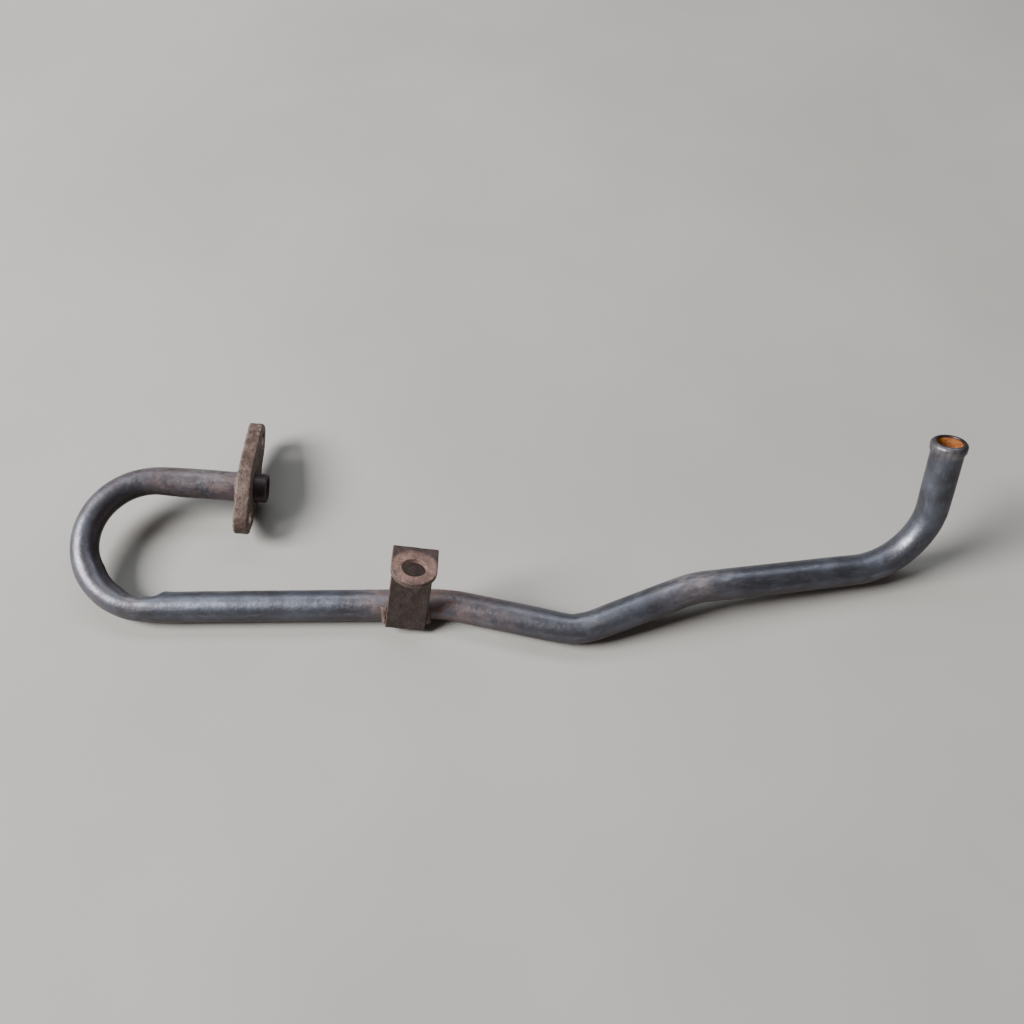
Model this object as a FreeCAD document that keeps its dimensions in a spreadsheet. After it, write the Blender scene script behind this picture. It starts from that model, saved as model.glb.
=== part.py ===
import FreeCAD, Part
import math
import os
import Sketcher

# Rigid steel coolant pipe: a bent tube with a rolled hose bead at one end, a two-bolt
# flange at the other, and a welded L-shaped tab bracket between them.
# Millimetres. +X runs along the straight limb towards the hose end, +Z is up from the
# surface that the pipe lies on, and -Y is the side the bracket is welded to.

V = FreeCAD.Vector

doc = FreeCAD.newDocument("CoolantPipe")

# ---------------------------------------------------------------- dimension sheet
DIMS = [
    ("tube_od", 16.0),
    ("tube_wall", 1.8),
    ("limb_height", 8.0),
    ("flange_height", 16.3),
    ("return_height", 31.0),
    ("hump_height", 19.0),
    ("hose_end_height", 73.0),
    ("bead_radius", 8.9),
    ("bead_length", 5.5),
    ("pilot_length", 6.5),
    ("flange_thickness", 8.0),
    ("flange_waist_radius", 16.0),
    ("flange_lug_radius", 9.5),
    ("far_hole_offset", 32.0),
    ("near_hole_offset", 18.5),
    ("bolt_hole_radius", 4.25),
    ("flange_edge_break", 0.8),
    ("flange_weld_leg", 2.2),
    ("bracket_thickness", 3.0),
    ("bracket_width", 21.5),
    ("bracket_leg_width", 20.0),
    ("bracket_foot", 6.5),
    ("bracket_top", 50.0),
    ("bracket_reach", 25.5),
    ("bracket_hole_radius", 5.5),
    ("bracket_bend_radius", 2.5),
    ("bracket_tilt", 15.0),
    ("bracket_lean", 10.0),
    ("bracket_station", -50.5),
    ("weld_width", 2.6),
    ("weld_height", 2.4),
    ("weld_sweep", 84.0),
]

# Corner points of the tube's centreline, from the flange to the hose end, and the bend
# radius at each corner. The first point is the middle of the flange plate.
CORNERS = [
    ("flange", -138.8, 67.9, "flange_height", 0.0),
    ("return_back", -240.2, 68.0, "return_height", 34.0),
    ("return_front", -203.3, 0.0, "limb_height", 33.0),
    ("kink", -30.0, 0.0, "limb_height", 64.0),
    ("elbow", 35.5, -16.0, "limb_height", 36.0),
    ("hump", 93.5, 2.0, "hump_height", 48.0),
    ("tail", 214.5, 21.5, "limb_height", 35.0),
    ("hose_end", 214.5, 51.0, "hose_end_height", 0.0),
]

# Shift that puts the middle of the finished part's footprint on the origin.
DIMS += [("centre_x", -0.944), ("centre_y", 43.401)]

sheet = doc.addObject("Spreadsheet::Sheet", "Dims")
size = {}
row = 0


def add_dimension(alias, value):
    """Write one dimension to the sheet as a plain number with a word alias."""
    global row
    row += 1
    sheet.set(f"A{row}", alias)
    sheet.set(f"B{row}", str(value))
    sheet.setAlias(f"B{row}", alias)
    size[alias] = value


for alias, value in DIMS:
    add_dimension(alias, value)
for corner, x, y, height, radius in CORNERS:
    add_dimension(f"{corner}_x", x)
    add_dimension(f"{corner}_y", y)
    if radius:
        add_dimension(f"{corner}_bend", radius)
doc.recompute()

tube_radius = size["tube_od"] / 2


def corner_point(corner, height):
    """Centreline corner in the finished part's frame."""
    x = size[f"{corner}_x"] - size["centre_x"]
    y = size[f"{corner}_y"] - size["centre_y"]
    return V(x, y, size[height])


corners = [corner_point(corner, height) for corner, _, _, height, _ in CORNERS]
bends = [radius for _, _, _, _, radius in CORNERS[1:-1]]

flange_centre = corners[0]
flange_axis = (corners[0] - corners[1]).normalize()
hose_axis = (corners[-1] - corners[-2]).normalize()
hose_tip = corners[-1]
pilot_tip = flange_centre + flange_axis * (size["flange_thickness"] / 2 + size["pilot_length"])


# ---------------------------------------------------------------- helpers
def rounded_route(points, radii):
    """Wire of straight runs joined by tangent arcs of the given radii."""
    edges = []
    here = points[0]
    for before, corner, after, radius in zip(points, points[1:], points[2:], radii):
        into = (corner - before).normalize()
        out = (after - corner).normalize()
        turn = into.getAngle(out)
        setback = radius * math.tan(turn / 2)
        inward = (out - into).normalize()
        start = corner - into * setback
        end = corner + out * setback
        middle = corner + inward * (radius / math.cos(turn / 2) - radius)
        edges.append(Part.LineSegment(here, start).toShape())
        edges.append(Part.Arc(start, middle, end).toShape())
        here = end
    edges.append(Part.LineSegment(here, points[-1]).toShape())
    return Part.Wire(edges)


def facing(position, axis, up=V(0, 0, 1)):
    """Placement whose local Z is the axis and whose local Y is as near to up as it can be."""
    side = up.cross(axis).normalize()
    top = axis.cross(side).normalize()
    return FreeCAD.Placement(position, FreeCAD.Rotation(side, top, axis, "ZXY"))


def origin_plane(body, role):
    """One of the body's own origin planes, found by its role."""
    return next(item for item in body.Origin.OriginFeatures if item.Role == role)


def new_body(name, label):
    body = doc.addObject("PartDesign::Body", name)
    body.Label = label
    return body


def new_sketch(body, name, role):
    """Empty sketch on one of the body's origin planes."""
    sketch = body.newObject("Sketcher::SketchObject", name)
    sketch.AttachmentSupport = [(origin_plane(body, role), "")]
    sketch.MapMode = "FlatFace"
    return sketch


def dimension(sketch, kind, name, alias, *geometry):
    """Add a named constraint and bind it to one dimension of the sheet."""
    index = sketch.addConstraint(Sketcher.Constraint(kind, *geometry, size[alias]))
    sketch.renameConstraint(index, name)
    sketch.setExpression(f"Constraints.{name}", f"Dims.{alias}")


def derived_dimension(sketch, kind, name, value, expression, *geometry):
    """Add a named constraint that is worked out from several dimensions of the sheet."""
    index = sketch.addConstraint(Sketcher.Constraint(kind, *geometry, value))
    sketch.renameConstraint(index, name)
    sketch.setExpression(f"Constraints.{name}", expression)


def closed_loop(sketch, points):
    """Closed polygon whose neighbouring lines share their end points."""
    count = len(points)
    for start, end in zip(points, points[1:] + points[:1]):
        sketch.addGeometry(Part.LineSegment(V(*start, 0), V(*end, 0)), False)
    for line in range(count):
        sketch.addConstraint(Sketcher.Constraint("Coincident", line, 2, (line + 1) % count, 1))


def edges_where(feature, test):
    """Names of the feature's edges that pass the test."""
    return [f"Edge{i + 1}" for i, edge in enumerate(feature.Shape.Edges) if test(edge)]


# ---------------------------------------------------------------- pipe
route = doc.addObject("Part::Feature", "PipeRoute")
route.Label = "Pipe route"
route.Shape = rounded_route([pilot_tip] + corners[1:], bends)
route_edges = [f"Edge{i + 1}" for i in range(len(route.Shape.Edges))]


def swept_round(name, label, radius_expression, start_radius):
    """Round bar of one radius along the whole route."""
    section = doc.addObject("Part::Circle", name + "Section")
    section.Label = label + " section"
    section.Radius = start_radius
    section.setExpression("Radius", radius_expression)
    section.Placement = facing(pilot_tip, flange_axis)
    sweep = doc.addObject("Part::Sweep", name)
    sweep.Label = label
    sweep.Sections = [section]
    sweep.Spine = (route, route_edges)
    sweep.Solid = True
    sweep.Frenet = False
    return sweep


pipe_outer = swept_round("PipeOuter", "Pipe outside", "Dims.tube_od / 2", tube_radius)
pipe_bore = swept_round(
    "PipeBore", "Pipe bore", "Dims.tube_od / 2 - Dims.tube_wall", tube_radius - size["tube_wall"]
)

# Rolled bead: a short swollen band that ends at the hose end's lip.
bead = new_body("HoseBead", "Hose bead")
bead_profile = new_sketch(bead, "HoseBeadProfile", "XZ_Plane")
lip = tube_radius - 0.4
crown = size["bead_radius"]
length = size["bead_length"]
inside = tube_radius - size["tube_wall"]
bead_outline = [
    (inside, 0),
    (lip, 0),
    (crown, 1.2),
    (crown, length - 2.2),
    (tube_radius - 0.1, length),
    (inside, length),
]
closed_loop(bead_profile, bead_outline)
bead_profile.addConstraint(Sketcher.Constraint("Horizontal", 0))
bead_profile.addConstraint(Sketcher.Constraint("Vertical", 2))
bead_profile.addConstraint(Sketcher.Constraint("Horizontal", 4))
bead_profile.addConstraint(Sketcher.Constraint("Vertical", 5))
bead_profile.addConstraint(Sketcher.Constraint("PointOnObject", 0, 1, -1))
dimension(bead_profile, "DistanceX", "crown_radius", "bead_radius", -1, 1, 2, 1)
dimension(bead_profile, "DistanceY", "band_length", "bead_length", 5, 2, 4, 1)
bead_turn = bead.newObject("PartDesign::Revolution", "HoseBeadTurn")
bead_turn.Profile = bead_profile
bead_turn.ReferenceAxis = (bead_profile, ["V_Axis"])
bead_turn.Angle = 360.0
bead.Placement = facing(hose_tip, hose_axis * -1)
doc.recompute()

pipe_solid = doc.addObject("Part::MultiFuse", "PipeSolid")
pipe_solid.Label = "Pipe with bead"
pipe_solid.Shapes = [pipe_outer, bead]
pipe = doc.addObject("Part::Cut", "Pipe")
pipe.Label = "pipe"
pipe.Base = pipe_solid
pipe.Tool = pipe_bore

# ---------------------------------------------------------------- flange
# Plate seen along its normal: a round waist about the tube and a lug about each bolt hole.
# The lug with the greater offset points away from the bracket's side.
flange = new_body("Flange", "flange")
outline = new_sketch(flange, "FlangeOutline", "XY_Plane")
waist = size["flange_waist_radius"]
lug = size["flange_lug_radius"]
reach_near = size["near_hole_offset"]
reach_far = size["far_hole_offset"]
angle_near = math.acos((waist - lug) / reach_near)
angle_far = math.acos((waist - lug) / reach_far)
upper = (angle_near, math.pi - angle_far)
lug_far = (math.pi - angle_far, math.pi + angle_far)
lower = (math.pi + angle_far, 2 * math.pi - angle_near)
lug_near = (-angle_near, angle_near)
ARCS = [
    (0, waist, upper),
    (-reach_far, lug, lug_far),
    (0, waist, lower),
    (reach_near, lug, lug_near),
]


def arc_end(arc, which):
    """Start (0) or end (1) of an outline arc."""
    centre, radius, span = arc
    return V(centre + radius * math.cos(span[which]), radius * math.sin(span[which]), 0)


for centre, radius, span in ARCS:
    circle = Part.Circle(V(centre, 0, 0), V(0, 0, 1), radius)
    outline.addGeometry(Part.ArcOfCircle(circle, *span), False)
for arc, following in zip(ARCS, ARCS[1:] + ARCS[:1]):
    outline.addGeometry(Part.LineSegment(arc_end(arc, 1), arc_end(following, 0)), False)
for side in range(4):
    line = side + 4
    outline.addConstraint(Sketcher.Constraint("Tangent", side, 2, line, 1))
    outline.addConstraint(Sketcher.Constraint("Tangent", line, 2, (side + 1) % 4, 1))
for waist_arc in (0, 2):
    outline.addConstraint(Sketcher.Constraint("Coincident", waist_arc, 3, -1, 1))
for lug_arc in (1, 3):
    outline.addConstraint(Sketcher.Constraint("PointOnObject", lug_arc, 3, -1))
outline.addConstraint(Sketcher.Constraint("Equal", 1, 3))
dimension(outline, "Radius", "waist", "flange_waist_radius", 0)
dimension(outline, "Radius", "lug", "flange_lug_radius", 1)
dimension(outline, "DistanceX", "far_offset", "far_hole_offset", 1, 3, -1, 1)
dimension(outline, "DistanceX", "near_offset", "near_hole_offset", -1, 1, 3, 3)
plate = flange.newObject("PartDesign::Pad", "FlangePlate")
plate.Profile = outline
plate.Length = size["flange_thickness"]
plate.setExpression("Length", "Dims.flange_thickness")
doc.recompute()

holes = new_sketch(flange, "FlangeHoles", "XY_Plane")
bolt_hole = size["bolt_hole_radius"]
for centre, radius in ((0, tube_radius), (-reach_far, bolt_hole), (reach_near, bolt_hole)):
    holes.addGeometry(Part.Circle(V(centre, 0, 0), V(0, 0, 1), radius), False)
holes.addConstraint(Sketcher.Constraint("Coincident", 0, 3, -1, 1))
holes.addConstraint(Sketcher.Constraint("PointOnObject", 1, 3, -1))
holes.addConstraint(Sketcher.Constraint("PointOnObject", 2, 3, -1))
holes.addConstraint(Sketcher.Constraint("Equal", 1, 2))
derived_dimension(holes, "Radius", "tube_hole", tube_radius, "Dims.tube_od / 2", 0)
dimension(holes, "Radius", "bolt_hole", "bolt_hole_radius", 1)
dimension(holes, "DistanceX", "far_offset", "far_hole_offset", 1, 3, -1, 1)
dimension(holes, "DistanceX", "near_offset", "near_hole_offset", -1, 1, 2, 3)
drilled = flange.newObject("PartDesign::Pocket", "FlangeDrilled")
drilled.Profile = holes
drilled.Type = "ThroughAll"
drilled.Reversed = True
doc.recompute()


def on_outer_rim(edge):
    """Edges round the plate's outline, leaving out the three holes and the upright edges."""
    return edge.BoundBox.ZLength < 1e-6 and not edge.isClosed()


edge_break = flange.newObject("PartDesign::Chamfer", "FlangeEdgeBreak")
edge_break.Base = (drilled, edges_where(drilled, on_outer_rim))
edge_break.Size = size["flange_edge_break"]
edge_break.setExpression("Size", "Dims.flange_edge_break")
# Local X runs along the lugs: it points to -Y of the part, so the short lug is at the front.
flange_back = flange_centre - flange_axis * (size["flange_thickness"] / 2)
across = V(0, 0, 1).cross(flange_axis).normalize() * -1
flange.Placement = FreeCAD.Placement(
    flange_back, FreeCAD.Rotation(across, flange_axis.cross(across), flange_axis, "ZXY")
)
doc.recompute()

# ---------------------------------------------------------------- weld round the flange
flange_weld = new_body("FlangeWeld", "flange_weld")
fillet_profile = new_sketch(flange_weld, "FlangeWeldProfile", "XZ_Plane")
leg = size["flange_weld_leg"]
weld_outline = [
    (tube_radius, 0),
    (tube_radius + leg, 0),
    (tube_radius + 0.72 * leg, -0.42 * leg),
    (tube_radius + 0.42 * leg, -0.72 * leg),
    (tube_radius, -leg),
]
closed_loop(fillet_profile, weld_outline)
fillet_profile.addConstraint(Sketcher.Constraint("Horizontal", 0))
fillet_profile.addConstraint(Sketcher.Constraint("PointOnObject", 0, 1, -1))
fillet_profile.addConstraint(Sketcher.Constraint("Vertical", 4))
derived_dimension(
    fillet_profile, "DistanceX", "tube_radius", tube_radius, "Dims.tube_od / 2", -1, 1, 0, 1
)
dimension(fillet_profile, "DistanceX", "leg_across", "flange_weld_leg", 0, 1, 0, 2)
dimension(fillet_profile, "DistanceY", "leg_along", "flange_weld_leg", 3, 2, 0, 1)
weld_turn = flange_weld.newObject("PartDesign::Revolution", "FlangeWeldTurn")
weld_turn.Profile = fillet_profile
weld_turn.ReferenceAxis = (fillet_profile, ["V_Axis"])
weld_turn.Angle = 360.0
flange_weld.Placement = facing(flange_back, flange_axis)
doc.recompute()

# ---------------------------------------------------------------- bracket
# Local frame: Y = 0 is the leg's back face against the tube, -Y points to the eye,
# Z runs up the leg, and the origin is the point where the leg touches the tube.
bracket = new_body("Bracket", "bracket")
elbow_profile = new_sketch(bracket, "BracketProfile", "YZ_Plane")
thickness = size["bracket_thickness"]
foot = -size["bracket_foot"]
top = size["bracket_top"]
reach = size["bracket_reach"]
elbow_outline = [
    (0, foot),
    (0, top),
    (-reach, top),
    (-reach, top - thickness),
    (-thickness, top - thickness),
    (-thickness, foot),
]
closed_loop(elbow_profile, elbow_outline)
for line in range(6):
    direction = "Vertical" if line % 2 == 0 else "Horizontal"
    elbow_profile.addConstraint(Sketcher.Constraint(direction, line))
elbow_profile.addConstraint(Sketcher.Constraint("PointOnObject", 0, 1, -2))
dimension(elbow_profile, "DistanceY", "foot", "bracket_foot", 0, 1, -1, 1)
dimension(elbow_profile, "DistanceY", "top", "bracket_top", -1, 1, 0, 2)
dimension(elbow_profile, "DistanceX", "reach", "bracket_reach", 1, 2, 1, 1)
dimension(elbow_profile, "DistanceY", "eye_thickness", "bracket_thickness", 2, 2, 2, 1)
dimension(elbow_profile, "DistanceX", "leg_thickness", "bracket_thickness", 5, 1, 5, 2)
strip = bracket.newObject("PartDesign::Pad", "BracketStrip")
strip.Profile = elbow_profile
strip.Midplane = True
strip.Length = size["bracket_width"]
strip.setExpression("Length", "Dims.bracket_width")
doc.recompute()


def along_fold(edge):
    """The inner and outer edges of the fold between the leg and the eye."""
    box = edge.BoundBox
    if box.XLength < size["bracket_width"] - 0.1:
        return False
    outer = abs(box.YMin) < 0.01 and abs(box.ZMin - top) < 0.01
    inner = abs(box.YMin + thickness) < 0.01 and abs(box.ZMin - top + thickness) < 0.01
    return outer or inner


fold = bracket.newObject("PartDesign::Fillet", "BracketFold")
fold.Base = (strip, edges_where(strip, along_fold))
fold.Radius = size["bracket_bend_radius"]
fold.setExpression("Radius", "Dims.bracket_bend_radius")
doc.recompute()

# The eye: a full round end about a clear hole.
eye_radius = size["bracket_width"] / 2
eye_centre = -(reach - eye_radius)
beyond = reach + 4
eye_trim = new_sketch(bracket, "BracketEyeTrim", "XY_Plane")
half = eye_radius + 4
left_end = V(-eye_radius, eye_centre, 0)
right_end = V(eye_radius, eye_centre, 0)
corner_loop = [
    left_end,
    V(-half, eye_centre, 0),
    V(-half, -beyond, 0),
    V(half, -beyond, 0),
    V(half, eye_centre, 0),
    right_end,
]
for start, end in zip(corner_loop, corner_loop[1:]):
    eye_trim.addGeometry(Part.LineSegment(start, end), False)
eye_circle = Part.Circle(V(0, eye_centre, 0), V(0, 0, 1), eye_radius)
eye_trim.addGeometry(Part.ArcOfCircle(eye_circle, math.pi, 2 * math.pi), False)
for line in range(4):
    eye_trim.addConstraint(Sketcher.Constraint("Coincident", line, 2, line + 1, 1))
eye_trim.addConstraint(Sketcher.Constraint("Coincident", 5, 1, 0, 1))
eye_trim.addConstraint(Sketcher.Constraint("Coincident", 5, 2, 4, 2))
eye_cut = bracket.newObject("PartDesign::Pocket", "BracketEyeRound")
eye_cut.Profile = eye_trim
eye_cut.Type = "ThroughAll"
eye_cut.Reversed = True
doc.recompute()

eye_hole_sketch = new_sketch(bracket, "BracketHoleCircle", "XY_Plane")
hole_circle = Part.Circle(V(0, eye_centre, 0), V(0, 0, 1), size["bracket_hole_radius"])
eye_hole_sketch.addGeometry(hole_circle, False)
eye_hole_sketch.addConstraint(Sketcher.Constraint("PointOnObject", 0, 3, -2))
dimension(eye_hole_sketch, "Radius", "hole", "bracket_hole_radius", 0)
offset_expression = "Dims.bracket_reach - Dims.bracket_width / 2"
derived_dimension(
    eye_hole_sketch, "DistanceY", "hole_offset", -eye_centre, offset_expression, 0, 3, -1, 1
)
eye_hole = bracket.newObject("PartDesign::Pocket", "BracketHole")
eye_hole.Profile = eye_hole_sketch
eye_hole.Type = "ThroughAll"
eye_hole.Reversed = True
doc.recompute()

# The leg is a little narrower than the eye, with a shoulder below the fold.
shoulder = top - thickness - 6
leg_sides = new_sketch(bracket, "BracketLegSides", "XZ_Plane")
leg_half = size["bracket_leg_width"] / 2
for side in (-1, 1):
    inner_x = side * leg_half
    outer_x = side * half
    below = foot - 2
    waste = [(inner_x, below), (inner_x, shoulder - 3), (outer_x, shoulder), (outer_x, below)]
    base = leg_sides.GeometryCount
    for start, end in zip(waste, waste[1:] + waste[:1]):
        leg_sides.addGeometry(Part.LineSegment(V(*start, 0), V(*end, 0)), False)
    for line in range(4):
        joint = Sketcher.Constraint("Coincident", base + line, 2, base + (line + 1) % 4, 1)
        leg_sides.addConstraint(joint)
narrow = bracket.newObject("PartDesign::Pocket", "BracketLegNarrowed")
narrow.Profile = leg_sides
narrow.Type = "ThroughAll"
narrow.Midplane = True
tilt = FreeCAD.Rotation(V(1, 0, 0), -size["bracket_tilt"])
lean = FreeCAD.Rotation(V(0, 1, 0), size["bracket_lean"])
outward = tilt.multVec(V(0, -1, 0))
limb_point = V(size["bracket_station"] - size["centre_x"], -size["centre_y"], size["limb_height"])
bracket.Placement = FreeCAD.Placement(limb_point + outward * tube_radius, tilt.multiply(lean))
doc.recompute()

# ---------------------------------------------------------------- welds at the bracket
# Each bead follows the tube's girth beside one edge of the leg, and is cut off flat there.
leg_space = doc.addObject("Part::Box", "LegSpace")
leg_space.Label = "Space taken by the leg"
leg_space.Length = size["bracket_leg_width"]
leg_space.setExpression("Length", "Dims.bracket_leg_width")
leg_space.Width = 40
leg_space.Height = 40
leg_corner = V(-leg_half, -20, -20)
leg_space.Placement = bracket.Placement.multiply(FreeCAD.Placement(leg_corner, FreeCAD.Rotation()))

welds = []
bead_width = size["weld_width"]
bead_top = tube_radius + size["weld_height"]
for side, name in ((-1, "bracket_weld_left"), (1, "bracket_weld_right")):
    object_name = name.title().replace("_", "")
    ring = new_body(object_name + "Ring", name + " ring")
    section = new_sketch(ring, object_name + "Section", "XZ_Plane")
    section_outline = [
        (-1.4 * side, tube_radius),
        (bead_width * side, tube_radius),
        (0.8 * bead_width * side, bead_top - 1.2),
        (0.4 * bead_width * side, bead_top - 0.2),
        (-1.4 * side, bead_top),
    ]
    closed_loop(section, section_outline)
    section.addConstraint(Sketcher.Constraint("Horizontal", 0))
    section.addConstraint(Sketcher.Constraint("Vertical", 4))
    derived_dimension(
        section, "DistanceY", "tube_radius", tube_radius, "Dims.tube_od / 2", -1, 1, 0, 1
    )
    dimension(section, "DistanceY", "height", "weld_height", 4, 2, 4, 1)
    turned = ring.newObject("PartDesign::Revolution", object_name + "Turn")
    turned.Profile = section
    turned.ReferenceAxis = (section, ["H_Axis"])
    turned.Midplane = True
    turned.Angle = size["weld_sweep"]
    turned.setExpression("Angle", "Dims.weld_sweep")
    upright = FreeCAD.Rotation(V(1, 0, 0), outward.cross(V(1, 0, 0)), outward, "ZXY")
    ring.Placement = FreeCAD.Placement(limb_point + V(side * leg_half, 0, 0), upright)
    doc.recompute()
    weld = doc.addObject("Part::Cut", object_name)
    weld.Label = name
    weld.Base = ring
    weld.Tool = leg_space
    welds.append((name, weld))
doc.recompute()

# ---------------------------------------------------------------- check and export
NODES = [("pipe", pipe), ("flange", flange), ("flange_weld", flange_weld), ("bracket", bracket)] + welds

for item in doc.Objects:
    if "Invalid" in item.State or "Error" in item.State:
        raise RuntimeError(f"{item.Label}: {item.State}")

os.makedirs("parts", exist_ok=True)
whole = Part.makeCompound([item.Shape for _, item in NODES])
for name, item in NODES:
    shape = item.Shape
    if shape.isNull() or not shape.isValid() or len(shape.Solids) != 1:
        raise RuntimeError(f"{name}: not one valid solid ({len(shape.Solids)} solids)")
    shape.exportStep(f"parts/{name}.step")
    box = shape.BoundBox
    print(f"{name}: volume {shape.Volume:.0f}, x {box.XMin:.2f}..{box.XMax:.2f}, "
          f"y {box.YMin:.2f}..{box.YMax:.2f}, z {box.ZMin:.2f}..{box.ZMax:.2f}")
box = whole.optimalBoundingBox()
print(f"whole: x {box.XMin:.3f}..{box.XMax:.3f}, "
      f"y {box.YMin:.3f}..{box.YMax:.3f}, z {box.ZMin:.3f}..{box.ZMax:.3f}")
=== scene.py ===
import math

import bpy
from mathutils import Euler, Matrix, Vector, noise


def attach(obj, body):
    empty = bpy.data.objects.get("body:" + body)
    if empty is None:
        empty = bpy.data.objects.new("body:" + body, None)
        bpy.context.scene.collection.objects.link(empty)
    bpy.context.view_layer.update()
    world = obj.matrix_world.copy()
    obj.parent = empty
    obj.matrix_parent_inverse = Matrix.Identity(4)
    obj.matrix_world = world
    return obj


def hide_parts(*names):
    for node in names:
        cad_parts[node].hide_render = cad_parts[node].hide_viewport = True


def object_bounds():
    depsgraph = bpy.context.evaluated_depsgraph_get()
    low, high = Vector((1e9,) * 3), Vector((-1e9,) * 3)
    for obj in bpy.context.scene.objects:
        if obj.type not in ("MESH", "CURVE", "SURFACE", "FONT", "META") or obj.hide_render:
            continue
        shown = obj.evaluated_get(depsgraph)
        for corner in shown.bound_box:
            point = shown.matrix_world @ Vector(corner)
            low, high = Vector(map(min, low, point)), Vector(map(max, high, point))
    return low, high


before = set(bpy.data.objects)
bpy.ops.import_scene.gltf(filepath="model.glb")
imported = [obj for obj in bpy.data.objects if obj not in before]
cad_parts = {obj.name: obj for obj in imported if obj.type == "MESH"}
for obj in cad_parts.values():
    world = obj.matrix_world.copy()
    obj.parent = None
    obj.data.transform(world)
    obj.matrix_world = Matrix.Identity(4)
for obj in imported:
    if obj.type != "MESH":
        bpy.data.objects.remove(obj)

# A rusty steel coolant pipe lying on a pale floor. Sizes are in millimetres and are turned
# into metres when a mesh is made. +X runs along the straight limb to the hose end, +Z is up.
# A station is a length along the tube's centreline, counted from the flange end.

MM = 0.001
cad_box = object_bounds()
CAD_LOW = cad_box[0] / MM
CAD_HIGH = cad_box[1] / MM

TUBE_RADIUS = 8.0
BORE_RADIUS = 6.2
BRACKET_EYE = Vector((-41.1, -53.0, 60.0))  # middle of the bracket's hole
BRACKET_SETBACK = 21.5  # from the middle of the kink back to the bracket's leg
PILOT_REACH = 10.5  # from the middle of the flange plate to the tube's end

# The straight limb's line, in numbers that put the middle of the footprint on the origin.
LIMB = Vector((0.944, -43.401, 0.0))
FLANGE_CENTRE = LIMB + Vector((-138.8, 67.9, 16.3))
HOSE_TIP = LIMB + Vector((214.5, 51.0, 73.0))

# Corners of the tube's centreline, the bend radius at each, and how far the tube is squeezed
# in the plane of the bend, as a share of its radius.
BENDS = {
    "return_back": (LIMB + Vector((-240.2, 68.0, 31.0)), 34.0, 0.12),
    "return_front": (LIMB + Vector((-203.3, 0.0, 8.0)), 33.0, 0.12),
    "kink": (LIMB + Vector((-30.0, 0.0, 8.0)), 64.0, 0.02),
    "elbow": (LIMB + Vector((35.5, -16.0, 8.0)), 36.0, 0.05),
    "hump": (LIMB + Vector((93.5, 2.0, 19.0)), 48.0, 0.0),
    "tail": (LIMB + Vector((214.5, 21.5, 8.0)), 35.0, 0.06),
}
SQUEEZE_RAMP = 14.0  # how far past each end of a bend its squeeze fades out

RING_POINTS = 72
RING_SPACING = 1.0
BORE_SPACING = 3.0

# Swollen hose bead: distance back from the tip and radius there.
BEAD = [
    (0.0, 7.1),
    (0.18, 7.75),
    (0.6, 8.3),
    (1.3, 8.8),
    (2.2, 8.88),
    (4.1, 8.8),
    (5.2, 8.35),
    (6.3, TUBE_RADIUS),
]
HOSE_LIP = [(0.0, 6.65), (0.3, 6.35)]  # from the bead's face into the bore
PILOT_END = [(0.0, 6.6), (0.0, 7.2), (0.25, 7.6), (0.7, 7.95), (1.4, TUBE_RADIUS)]
PILOT_LIP = 0.5  # how far in the flange end's lip meets the bore
PILOT_PLAIN = 2.0  # the plain outside starts this far from the flange end
BEAD_PLAIN = 6.5  # and stops this far from the hose end
BORE_INSET = 1.0  # the plain bore stops this far inside each end

SKIN_WAVES = [(0.10, 11.0), (0.035, 2.6)]  # height and size of the tube's unevenness
SKIN_INSET = 0.1  # keeps nearly all of the uneven skin inside the CAD tube


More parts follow.
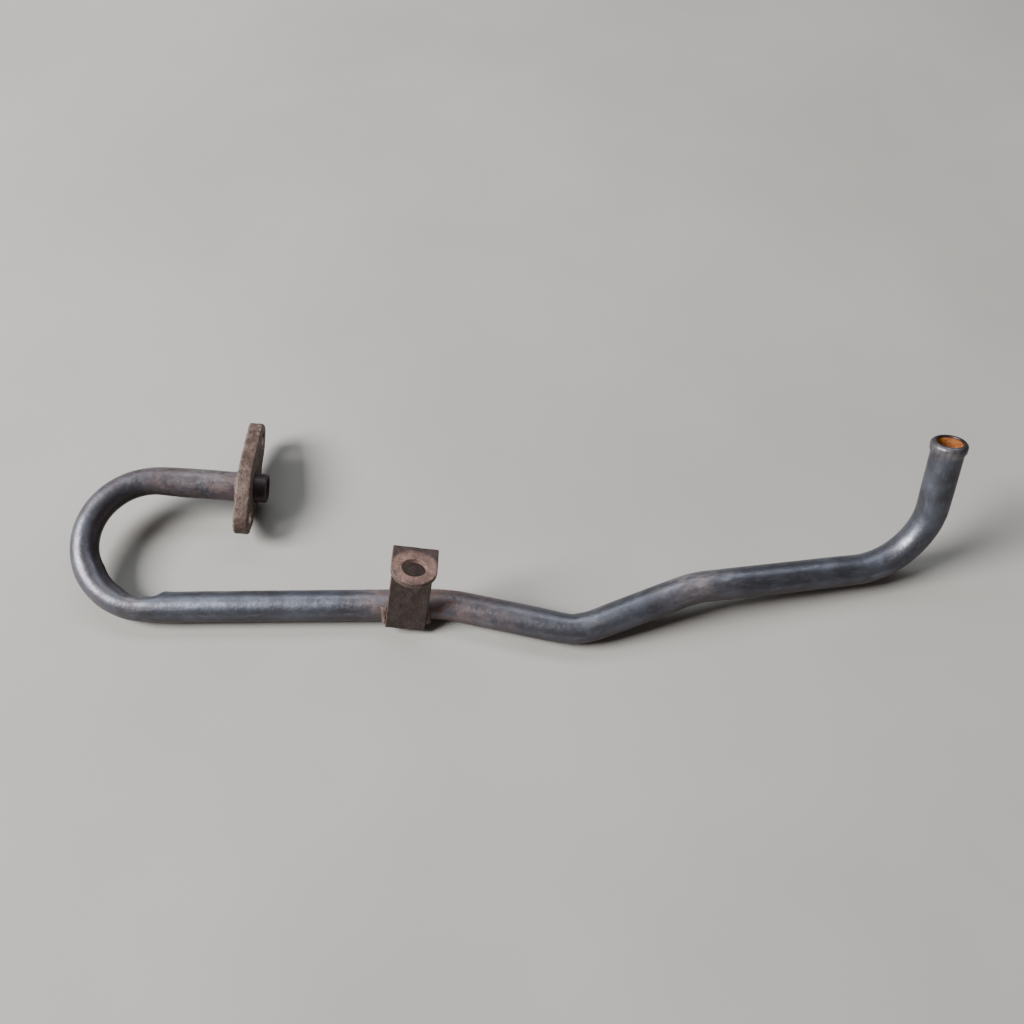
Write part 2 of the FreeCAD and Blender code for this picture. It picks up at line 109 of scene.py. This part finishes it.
# ---------------------------------------------------------------- the tube's route
class Route:
    """Straight runs joined by tangent arcs, with a cross-section frame that never twists."""

    def __init__(self, start, bends, end):
        self.runs = []
        self.length = 0.0
        here = start
        names = list(bends)
        points = [start] + [bends[name][0] for name in names] + [end]
        tangent = (points[1] - start).normalized()
        side = Vector((0, 0, 1)).cross(tangent).normalized()
        basis = Matrix((side, tangent.cross(side), tangent)).transposed()
        for name, before, corner, after in zip(names, points, points[1:], points[2:]):
            radius, squeeze = bends[name][1:]
            into = (corner - before).normalized()
            out = (after - corner).normalized()
            turn = into.angle(out)
            axis = into.cross(out).normalized()
            setback = radius * math.tan(turn / 2)
            arc_start = corner - into * setback
            self.add_run(name + "_run", here, basis, (arc_start - here).length)
            centre = arc_start + axis.cross(into) * radius
            self.add_run(name, arc_start, basis, radius * turn, centre, axis, squeeze)
            basis = Matrix.Rotation(turn, 3, axis) @ basis
            here = corner + out * setback
        self.add_run("end_run", here, basis, (end - here).length)

    def add_run(self, name, point, basis, length, centre=None, axis=None, squeeze=0.0):
        run = {
            "name": name,
            "start": self.length,
            "end": self.length + length,
            "point": point.copy(),
            "basis": basis.copy(),
            "centre": centre,
            "axis": axis,
            "squeeze": squeeze,
        }
        self.runs.append(run)
        self.length += length

    def middle_of(self, name):
        """Station at the middle of a named bend."""
        run = next(run for run in self.runs if run["name"] == name)
        return (run["start"] + run["end"]) / 2

    def place(self, station):
        """(centre, basis) at a length along the route; the basis columns are side, up, along."""
        run = next((run for run in self.runs if station <= run["end"]), self.runs[-1])
        step = station - run["start"]
        if run["centre"] is None:
            return run["point"] + run["basis"].col[2] * step, run["basis"]
        arm = run["point"] - run["centre"]
        turned = Matrix.Rotation(step / arm.length, 3, run["axis"])
        return run["centre"] + turned @ arm, turned @ run["basis"]

    def squeezes(self, station):
        """(share, inward direction) for each bend whose squeeze reaches this station."""
        found = []
        for run in self.runs:
            outside = max(run["start"] - station, station - run["end"])
            if run["squeeze"] and outside < SQUEEZE_RAMP:
                nearest = min(max(station, run["start"]), run["end"])
                centre, _ = self.place(nearest)
                inward = (run["centre"] - centre).normalized()
                grown = smooth((SQUEEZE_RAMP - outside) / (2 * SQUEEZE_RAMP))
                found.append((run["squeeze"] * grown, inward))
        return found


def smooth(value):
    """Smooth step from 0 to 1."""
    value = min(max(value, 0.0), 1.0)
    return value * value * (3 - 2 * value)


def bump(station, centre, half_width):
    """1 at the centre of a stretch, fading smoothly to 0 at its ends."""
    return smooth(1 - abs(station - centre) / half_width)


flange_axis = (FLANGE_CENTRE - BENDS["return_back"][0]).normalized()
PILOT_TIP = FLANGE_CENTRE + flange_axis * PILOT_REACH
route = Route(PILOT_TIP, BENDS, HOSE_TIP)

RETURN_MIDDLE = route.middle_of("return_back")
RETURN_FRONT = route.middle_of("return_front")
ELBOW = route.middle_of("elbow")
HUMP = route.middle_of("hump")
TAIL = route.middle_of("tail")
BRACKET = route.middle_of("kink") - BRACKET_SETBACK

# Places where the wall is pushed in or out: station, half length, the side it is on, how far
# the wall goes outwards there, and how tightly the dent keeps to that side.
DENTS = {
    "hump_flat": (HUMP, 26.0, Vector((0, -0.25, 1)), -0.35, 2),
    "hump_scrape": (HUMP + 14, 6.0, Vector((0, 0.2, 1)), -0.35, 6),
    "return_flat": (RETURN_FRONT + 13, 14.0, Vector((0, 1, 0.25)), -2.3, 3),
    "return_wrinkle": (RETURN_FRONT + 22.5, 5.5, Vector((0, 1, 0.25)), -2.9, 3),
    "return_ridge": (RETURN_FRONT + 28, 4.0, Vector((0, 1, 0.4)), 0.3, 3),
    "elbow_crease": (ELBOW - 3, 5.0, Vector((0, 1, 0.3)), -0.35, 3),
    "tail_flat": (TAIL + 4, 15.0, Vector((1, -0.2, -0.3)), -0.35, 2),
}


def evenly(first, last, spacing):
    """Stations from first to last, about one spacing apart."""
    count = round(abs(last - first) / spacing)
    return [first + (last - first) * index / count for index in range(count + 1)]


def uneven(spot, waves):
    """Height of a skin at a point, from waves of noise given as (height, size)."""
    return sum(height * noise.noise(spot / size) for height, size in waves)


def dents_at(station):
    """(depth, direction, tightness) of each dent that reaches this station."""
    found = []
    for where, half, direction, depth, keeps in DENTS.values():
        if abs(station - where) < half:
            found.append((depth * bump(station, where, half), direction.normalized(), keeps))
    return found


def shaped(radius, outward, centre, squeezes, dents):
    """Radius after the bends' squeeze, the dents and the tube's own unevenness."""
    flattened = [share * outward.dot(inward) ** 2 for share, inward in squeezes]
    radius *= 1 - max(flattened, default=0.0)
    for depth, direction, keeps in dents:
        radius += depth * max(outward.dot(direction), 0.0) ** keeps
    return radius + uneven(centre + outward * radius, SKIN_WAVES) - SKIN_INSET


def ring_plan():
    """(station, radius, in the bore) for each ring, out along the tube and back through it."""
    end = route.length
    rings = [(PILOT_LIP, BORE_RADIUS, True)]
    rings += [(distance, radius, False) for distance, radius in PILOT_END]
    for station in evenly(PILOT_PLAIN, end - BEAD_PLAIN, RING_SPACING):
        rings.append((station, TUBE_RADIUS, False))
    for distance, radius in [*reversed(BEAD), *HOSE_LIP]:
        rings.append((end - distance, radius, False))
    for station in evenly(end - BORE_INSET, BORE_INSET, BORE_SPACING):
        rings.append((station, BORE_RADIUS, True))
    return rings


def inside_cad(point):
    """The point, kept inside the CAD model's box."""
    return Vector(min(max(p, low), high) for p, low, high in zip(point, CAD_LOW, CAD_HIGH))


# ---------------------------------------------------------------- colour zones on the tube
# station, half length, amount of rust
RUST_ZONES = [
    (14, 50, 0.75),
    (58, 40, 0.45),
    (RETURN_MIDDLE, 60, 0.30),
    (RETURN_FRONT, 36, 0.35),
    (BRACKET, 34, 0.95),
    (BRACKET + 17, 17, 0.95),
    (BRACKET + 34, 34, 0.55),
    (ELBOW - 30, 30, 0.30),
    (HUMP, 30, 0.45),
    (route.length - 3, 8, 0.35),
]
LIT_SIDE = Vector((-0.45, 0, 0.90)).normalized()  # the side facing the window light, kept clear of painted shade
PILOT_SHADE = 20.0  # length of painted shade all round the flange end, standing in for the flange's shadow on it
SHADE_LEVEL = 0.68  # before smoothing, painted shade midway between the lit side and the far one
SHADE_FALL = 1.2  # how much less painted shade there is on the lit side, before smoothing
# station, half length, direction, amount of pale scratches; the tail's row is a painted highlight
# on its side facing the window light
WEAR_AND_HIGHLIGHT_ZONES = [
    (HUMP, 30, Vector((0, 0.1, 1)), 0.9),
    (RETURN_FRONT + 16, 9, Vector((0, 0.4, 1)), 0.8),
    (ELBOW + 6, 20, Vector((0, 0.2, 1)), 0.45),
    (BRACKET - 22, 12, Vector((0, 0.3, 1)), 0.5),
    # painted highlight: pale colour on the tail's side that faces the window light
    (TAIL - 2, 20, Vector((-1, 0, 0.7)), 0.25),
    (route.length - 3, 6, Vector((-0.7, -0.7, 0.5)), 1.0),
    (30, 30, Vector((0, 0.2, 1)), 0.5),
]


def rust_at(station):
    """Share of rust at a station, where zones that overlap add up to no more than 1."""
    clear = 1.0
    for where, half, amount in RUST_ZONES:
        clear *= 1 - amount * bump(station, where, half)
    return 1 - clear


def painted_shade_at(station, outward):
    """Painted shade: dark on the tube's side turned away from the window light, and all round it
    at the flange end, in the flange's shadow.
    """
    # painted shade, darkest underneath and on the +X side, away from the window light
    shaded_side = smooth(SHADE_LEVEL - SHADE_FALL * outward.dot(LIT_SIDE))
    return max(shaded_side, bump(station, 0, PILOT_SHADE))


def wear_and_highlight_at(station):
    """(amount, direction) of each worn place and painted highlight that reaches this station."""
    found = []
    for where, half, direction, amount in WEAR_AND_HIGHLIGHT_ZONES:
        if abs(station - where) < half:
            found.append((amount * bump(station, where, half), direction.normalized()))
    return found


def wear_and_highlight_on(outward, zones):
    """Share of worn colour and painted highlight on one side of the tube, from the worn places
    and the painted highlight at its station.
    """
    clear = 1.0
    for amount, direction in zones:
        clear *= 1 - amount * max(outward.dot(direction), 0.0)
    return 1 - clear


# ---------------------------------------------------------------- mesh helpers
def mesh_object(name, vertices, faces):
    """Smooth-shaded mesh object from points in millimetres."""
    mesh = bpy.data.meshes.new(name)
    mesh.from_pydata([point * MM for point in vertices], [], faces)
    mesh.update()
    mesh.shade_smooth()
    made = bpy.data.objects.new(name, mesh)
    bpy.context.scene.collection.objects.link(made)
    return made


def store(made, name, values):
    """Store one number per vertex for the materials to read."""
    layer = made.data.attributes.new(name, "FLOAT", "POINT")
    layer.data.foreach_set("value", values)


def store_vectors(made, name, vectors):
    """Store one vector per vertex for the materials to read."""
    layer = made.data.attributes.new(name, "FLOAT_VECTOR", "POINT")
    layer.data.foreach_set("vector", [number for vector in vectors for number in vector])


def finished(made, node):
    """Put a piece on the model in place of its CAD node."""
    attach(made, "root")
    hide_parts(node)


# ---------------------------------------------------------------- the tube
def build_tube():
    """One closed skin: outside, rolled ends and bore."""
    rings = ring_plan()
    vertices = []
    rust = []
    wear_and_highlight = []
    painted_shade = []
    tube_space = []
    for station, radius, _ in rings:
        centre, basis = route.place(station)
        side, up, _ = basis.col
        squeezes = route.squeezes(station)
        dents = dents_at(station)
        # worn places and the tail's painted highlight at this station
        worn = wear_and_highlight_at(station)
        zone_rust = rust_at(station)
        for step in range(RING_POINTS):
            angle = 2 * math.pi * step / RING_POINTS
            outward = side * math.cos(angle) + up * math.sin(angle)
            point = centre + outward * shaped(radius, outward, centre, squeezes, dents)
            vertices.append(inside_cad(point))
            rust.append(zone_rust)
            # painted shade at this point of the ring
            painted_shade.append(painted_shade_at(station, outward))
            wear_and_highlight.append(wear_and_highlight_on(outward, worn))
            across = Vector((math.cos(angle), math.sin(angle))) * TUBE_RADIUS
            tube_space.append(Vector((station, across.x, across.y)) * MM)
    faces = []
    bore_faces = []
    count = len(rings)
    for ring in range(count):
        following = (ring + 1) % count
        for step in range(RING_POINTS):
            turn = (step + 1) % RING_POINTS
            a = ring * RING_POINTS
            b = following * RING_POINTS
            faces.append((a + step, a + turn, b + turn, b + step))
            bore_faces.append(rings[ring][2] and rings[following][2])
    made = mesh_object("tube", vertices, faces)
    store(made, "rust", rust)
    store(made, "wear_and_highlight", wear_and_highlight)
    store(made, "painted_shade", painted_shade)
    store_vectors(made, "tube_space", tube_space)
    made.data.materials.append(tube_material())
    made.data.materials.append(bore_material())
    made.data.polygons.foreach_set("material_index", [int(bore) for bore in bore_faces])
    return made


# ---------------------------------------------------------------- worn pieces
LUMPS = [(1.0, 4.5), (0.5, 1.4)]  # share of the roughness and size of a rough skin's lumps
LUMPS_INSET = 0.3  # share of the roughness that the skin is set in by


def worn_copy(name, node, voxel, rounding, roughness):
    """A fine mesh of a CAD node with rounded, uneven edges and a rough skin."""
    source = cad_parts[node]
    made = bpy.data.objects.new(name, source.data.copy())
    bpy.context.scene.collection.objects.link(made)
    remesh = made.modifiers.new("skin", "REMESH")
    remesh.mode = "VOXEL"
    remesh.voxel_size = voxel * MM
    soften = made.modifiers.new("soften", "SMOOTH")
    soften.factor = 0.5
    soften.iterations = rounding
    bpy.context.view_layer.update()
    evaluated = made.evaluated_get(bpy.context.evaluated_depsgraph_get())
    mesh = bpy.data.meshes.new_from_object(evaluated)
    made.modifiers.clear()
    made.data = mesh
    mesh.name = name
    mesh.materials.clear()
    mesh.shade_smooth()
    spots = [(vertex.co / MM, vertex.normal.copy()) for vertex in mesh.vertices]
    moved = []
    for spot, normal in spots:
        height = roughness * (uneven(spot, LUMPS) - LUMPS_INSET)
        moved.extend(inside_cad(spot + normal * height) * MM)
    mesh.vertices.foreach_set("co", moved)
    mesh.update()
    return made


# ---------------------------------------------------------------- materials
class Surface:
    """A node material with a Principled shader, built up from layers."""

    def __init__(self, name):
        self.material = bpy.data.materials.new(name)
        self.material.use_nodes = True
        self.tree = self.material.node_tree
        self.shader = self.tree.nodes["Principled BSDF"]
        self.place = self.node("ShaderNodeTexCoord").outputs["Object"]

    def node(self, kind, **settings):
        """A new shader node with its settings."""
        made = self.tree.nodes.new(kind)
        for key, value in settings.items():
            setattr(made, key, value)
        return made

    def join(self, source, target):
        """Link an output socket to an input socket."""
        self.tree.links.new(source, target)

    def attribute(self, name, output="Fac"):
        """Numbers that build_tube stored on the mesh."""
        return self.node("ShaderNodeAttribute", attribute_name=name).outputs[output]

    def stretched(self, source, scale):
        """Coordinates multiplied by a different number along each axis."""
        mapping = self.node("ShaderNodeMapping")
        mapping.inputs["Scale"].default_value = scale
        self.join(source, mapping.inputs["Vector"])
        return mapping.outputs["Vector"]

    def clouds(self, grain, detail=4.0, roughness=0.55, place=None):
        """Noise whose features are about the given number of millimetres across."""
        texture = self.node("ShaderNodeTexNoise")
        texture.inputs["Scale"].default_value = 1 / (grain * MM)
        texture.inputs["Detail"].default_value = detail
        texture.inputs["Roughness"].default_value = roughness
        self.join(place or self.place, texture.inputs["Vector"])
        return texture.outputs["Fac"]

    def between(self, source, low, high, out_low=0.0, out_high=1.0):
        """Smoothly map low..high to out_low..out_high."""
        ranged = self.node("ShaderNodeMapRange", interpolation_type="SMOOTHSTEP")
        ranged.inputs["From Min"].default_value = low
        ranged.inputs["From Max"].default_value = high
        ranged.inputs["To Min"].default_value = out_low
        ranged.inputs["To Max"].default_value = out_high
        self.join(source, ranged.inputs["Value"])
        return ranged.outputs["Result"]

    def combine(self, first, second, operation="MULTIPLY"):
        """Two values, each a socket or a number, combined and kept within 0 to 1."""
        sums = self.node("ShaderNodeMath", operation=operation, use_clamp=True)
        for socket, value in zip(sums.inputs, (first, second)):
            if isinstance(value, (int, float)):
                socket.default_value = value
            else:
                self.join(value, socket)
        return sums.outputs["Value"]

    def layer(self, below, above, mask):
        """Colour above laid over the colour below where the mask is 1."""
        mix = self.node("ShaderNodeMix", data_type="RGBA")
        self.join(mask, mix.inputs["Factor"])
        for socket, colour in ((mix.inputs[6], below), (mix.inputs[7], above)):
            if isinstance(colour, tuple):
                socket.default_value = (*colour, 1.0)
            else:
                self.join(colour, socket)
        return mix.outputs[2]

    def relief(self, *heights):
        """Bump from (height socket, distance in mm) pairs."""
        normal = None
        for height, distance in heights:
            bumped = self.node("ShaderNodeBump")
            bumped.inputs["Distance"].default_value = distance * MM
            self.join(height, bumped.inputs["Height"])
            if normal is not None:
                self.join(normal, bumped.inputs["Normal"])
            normal = bumped.outputs["Normal"]
        self.join(normal, self.shader.inputs["Normal"])

    def near(self, centre, inner, outer):
        """1 closer than the inner distance to a point, 0 past the outer distance, in mm."""
        span = self.node("ShaderNodeVectorMath", operation="DISTANCE")
        span.inputs[1].default_value = centre * MM
        self.join(self.place, span.inputs[0])
        return self.between(span.outputs["Value"], outer * MM, inner * MM)

    def edges(self, low, high):
        """1 on worn outer edges."""
        pointed = self.node("ShaderNodeNewGeometry").outputs["Pointiness"]
        return self.between(pointed, low, high)


# Linear colours.
OXIDE = (0.140, 0.152, 0.188)
OXIDE_DARK = (0.094, 0.096, 0.116)
OXIDE_LIGHT = (0.250, 0.262, 0.300)
# Painted shade: the near-black laid on the tube's shaded side and its shadowed flange end.
SHADE_COLOUR = (0.034, 0.018, 0.019)
BROWN_HAZE = (0.092, 0.056, 0.048)
RUST_RED = (0.105, 0.034, 0.023)
RUST_DARK = (0.045, 0.024, 0.018)
PALE_DUST = (0.400, 0.375, 0.365)
ORANGE_RUST = (0.380, 0.140, 0.016)
PINK_RUST = (0.380, 0.235, 0.195)
BORE_RED = (0.220, 0.065, 0.016)
BORE_PITS = (0.080, 0.035, 0.020)
CAST_BROWN = (0.075, 0.046, 0.036)
CAST_LIGHT = (0.138, 0.094, 0.078)
TAB_BROWN = (0.030, 0.018, 0.016)
TAB_LIGHT = (0.048, 0.030, 0.027)
WELD_LIGHT = (0.125, 0.082, 0.064)
FLOOR_GREY = (0.315, 0.308, 0.290)
FLOOR_LIGHT = (0.350, 0.343, 0.325)

ALONG_TUBE = (0.35, 1.0, 1.0)  # stretches marks to about three times their width
ORANGE_REACH = (40, 120)  # the bore is orange up to here, and dark past here
WASHER_REACH = (9.0, 12.0)  # a washer's rubbing fades out between these distances


def tube_material():
    """Grey-blue oxide with rust, faint drawing marks along the tube, pale worn marks with a
    painted highlight on the tail, and painted shade on the side away from the light.
    """
    surface = Surface("tube_oxide")
    tube_space = surface.attribute("tube_space", "Vector")
    marks_place = surface.stretched(tube_space, ALONG_TUBE)
    rust_zone = surface.attribute("rust")
    wear_and_highlight_zone = surface.attribute("wear_and_highlight")
    painted_shade = surface.attribute("painted_shade")

    broad = surface.between(surface.clouds(14, detail=5), 0.36, 0.66)
    fine = surface.clouds(1.2, detail=6)
    marks = surface.between(surface.clouds(2.2, detail=5, place=marks_place), 0.50, 0.72)
    colour = surface.layer(OXIDE_DARK, OXIDE, broad)
    colour = surface.layer(colour, OXIDE_LIGHT, surface.combine(marks, 0.35))

    haze = surface.combine(surface.between(surface.clouds(9, detail=6), 0.24, 0.56), rust_zone)
    colour = surface.layer(colour, BROWN_HAZE, surface.combine(haze, 0.85))
    spots = surface.between(surface.clouds(3.5, detail=7, roughness=0.65), 0.46, 0.66)
    spots = surface.combine(spots, surface.between(rust_zone, 0.25, 0.9))
    colour = surface.layer(colour, RUST_RED, surface.combine(spots, 0.8))

    # pale scratches, and on the tail's light-facing side a painted highlight
    scrapes_and_highlight = surface.between(surface.clouds(2.4, detail=7, place=marks_place), 0.38, 0.66)
    scrapes_and_highlight = surface.combine(scrapes_and_highlight, wear_and_highlight_zone)
    colour = surface.layer(colour, PALE_DUST, surface.combine(scrapes_and_highlight, 0.45))
    # painted shade on the side away from the window light and at the flange end
    colour = surface.layer(colour, SHADE_COLOUR, surface.combine(painted_shade, 0.8))
    surface.join(colour, surface.shader.inputs["Base Color"])

    metal = surface.between(surface.combine(haze, spots, "ADD"), 0.0, 1.0, 0.85, 0.10)
    surface.join(metal, surface.shader.inputs["Metallic"])
    rough = surface.between(fine, 0.3, 0.7, 0.38, 0.47)
    rough = surface.combine(rough, surface.between(spots, 0.0, 1.0, 0.0, 0.3), "ADD")
    surface.join(rough, surface.shader.inputs["Roughness"])
    surface.relief(
        (surface.clouds(5.0, detail=3), 0.22),
        (fine, 0.07),
        (spots, 0.08),
    )
    return surface.material


def bore_material():
    """Rust inside the tube: powdery and orange near the hose end, dark further in."""
    surface = Surface("bore_rust")
    grain = surface.clouds(1.3, detail=7, roughness=0.7)
    patches = surface.between(surface.clouds(6, detail=5), 0.40, 0.62)
    colour = surface.layer(ORANGE_RUST, BORE_RED, patches)
    colour = surface.layer(colour, BORE_PITS, surface.between(grain, 0.56, 0.74))
    colour = surface.layer(RUST_DARK, colour, surface.near(HOSE_TIP, *ORANGE_REACH))
    surface.join(colour, surface.shader.inputs["Base Color"])
    surface.join(surface.between(grain, 0.3, 0.7, 0.7, 0.95), surface.shader.inputs["Roughness"])
    surface.relief((grain, 0.35), (patches, 0.3))
    return surface.material


def rusty_material(name, base, light, edge_colour, edge_amount, washer=None):
    """Brown rusty steel with rubbed edges and, round a washer's centre, a rubbed face."""
    surface = Surface(name)
    grain = surface.clouds(0.9, detail=7, roughness=0.65)
    patches = surface.between(surface.clouds(5.5, detail=6), 0.38, 0.62)
    pits = surface.between(surface.clouds(1.7, detail=6, roughness=0.7), 0.54, 0.70)
    colour = surface.layer(base, light, patches)
    colour = surface.layer(colour, RUST_DARK, surface.combine(pits, 0.8))
    rubbed = surface.combine(surface.edges(0.51, 0.56), surface.between(grain, 0.36, 0.6))
    if washer is not None:
        blotches = surface.between(patches, 0, 1, 0.35, 0.75)
        face = surface.combine(surface.near(washer, *WASHER_REACH), blotches)
        rubbed = surface.combine(rubbed, face, "MAXIMUM")
    colour = surface.layer(colour, edge_colour, surface.combine(rubbed, edge_amount))
    surface.join(colour, surface.shader.inputs["Base Color"])
    surface.join(surface.between(rubbed, 0.0, 1.0, 0.10, 0.45), surface.shader.inputs["Metallic"])
    surface.join(surface.between(grain, 0.3, 0.7, 0.50, 0.80), surface.shader.inputs["Roughness"])
    surface.relief((patches, 0.25), (grain, 0.18), (pits, -0.22))
    return surface.material


# ---------------------------------------------------------------- build the pieces
tube = build_tube()
finished(tube, "pipe")

RUSTS = {
    "flange_steel": rusty_material("flange_rust", CAST_BROWN, CAST_LIGHT, PALE_DUST, 0.9),
    "bracket_steel": rusty_material(
        "bracket_rust", TAB_BROWN, TAB_LIGHT, PINK_RUST, 0.9, BRACKET_EYE
    ),
    "weld": rusty_material("weld_rust", CAST_BROWN, WELD_LIGHT, PALE_DUST, 0.6),
}
# CAD node, worn copy, slot, mesh size in mm, smoothing passes, roughness in mm
WORN_PIECES = [
    ("flange", "flange_plate", "flange_steel", 0.4, 4, 0.22),
    ("flange_weld", "flange_weld_bead", "weld", 0.25, 3, 0.35),
    ("bracket", "bracket_tab", "bracket_steel", 0.3, 14, 0.10),
    ("bracket_weld_left", "bracket_bead_left", "weld", 0.2, 3, 0.35),
    ("bracket_weld_right", "bracket_bead_right", "weld", 0.2, 3, 0.35),
]
for node, name, slot_name, voxel, rounding, roughness in WORN_PIECES:
    piece = worn_copy(name, node, voxel, rounding, roughness)
    piece.data.materials.append(RUSTS[slot_name])
    finished(piece, node)


# ---------------------------------------------------------------- floor, light and camera
FLOOR_HALF = 2500
CAMERA_PLACE = LIMB + Vector((0.0, -226.7, 436.3))
CAMERA_TILT = 33.4  # degrees up from looking straight down
CAMERA_TURN = -0.6764  # degrees, anticlockwise from above
CAMERA_LENS = 33.4
CAMERA_SENSOR = 36.0

# The lights are in metres and watts: name, place, width, height, power, colour.
LIGHTS = [
    ("window", (-1.85, -0.28, 1.62), 1.05, 1.15, 155, (1.0, 0.985, 0.97)),
    ("sky", (0.10, 0.95, 1.60), 2.6, 0.45, 19, (0.90, 0.95, 1.0)),
]
LIT_POINT = Vector((0, 0, 0.02))
ROOM_COLOUR = (1.0, 0.90, 0.87, 1.0)
ROOM_STRENGTH = 0.11


def plain_floor():
    """Pale matt floor, a little mottled."""
    signs = ((-1, -1), (1, -1), (1, 1), (-1, 1))
    corners = [Vector((x * FLOOR_HALF, y * FLOOR_HALF, 0)) for x, y in signs]
    floor = mesh_object("floor", corners, [(0, 1, 2, 3)])
    surface = Surface("pale_floor")
    mottled = surface.between(surface.clouds(220, detail=3), 0.3, 0.7)
    colour = surface.layer(FLOOR_GREY, FLOOR_LIGHT, mottled)
    surface.join(colour, surface.shader.inputs["Base Color"])
    surface.shader.inputs["Roughness"].default_value = 0.9
    floor.data.materials.append(surface.material)


def soft_light(name, place, width, height, power, colour):
    """Rectangular studio light that faces the pipe."""
    light = bpy.data.lights.new(name, "AREA")
    light.shape = "RECTANGLE"
    light.size = width
    light.size_y = height
    light.energy = power
    light.color = colour
    lamp = bpy.data.objects.new(name, light)
    lamp.location = place
    facing = LIT_POINT - Vector(place)
    lamp.rotation_euler = facing.to_track_quat("-Z", "Y").to_euler()
    bpy.context.scene.collection.objects.link(lamp)


def room_light():
    """Low, warm light from all round."""
    world = bpy.data.worlds.new("room")
    world.use_nodes = True
    background = world.node_tree.nodes["Background"]
    background.inputs["Color"].default_value = ROOM_COLOUR
    background.inputs["Strength"].default_value = ROOM_STRENGTH
    bpy.context.scene.world = world


def photo_camera():
    """Camera at the photograph's viewing angle."""
    camera = bpy.data.cameras.new("camera")
    camera.sensor_width = CAMERA_SENSOR
    camera.lens = CAMERA_LENS
    rig = bpy.data.objects.new("camera", camera)
    turned = Euler((math.radians(CAMERA_TILT), 0, math.radians(CAMERA_TURN))).to_matrix()
    rig.matrix_world = Matrix.Translation(CAMERA_PLACE * MM) @ turned.to_4x4()
    bpy.context.scene.collection.objects.link(rig)
    bpy.context.scene.camera = rig


plain_floor()
for light_settings in LIGHTS:
    soft_light(*light_settings)
room_light()
photo_camera()
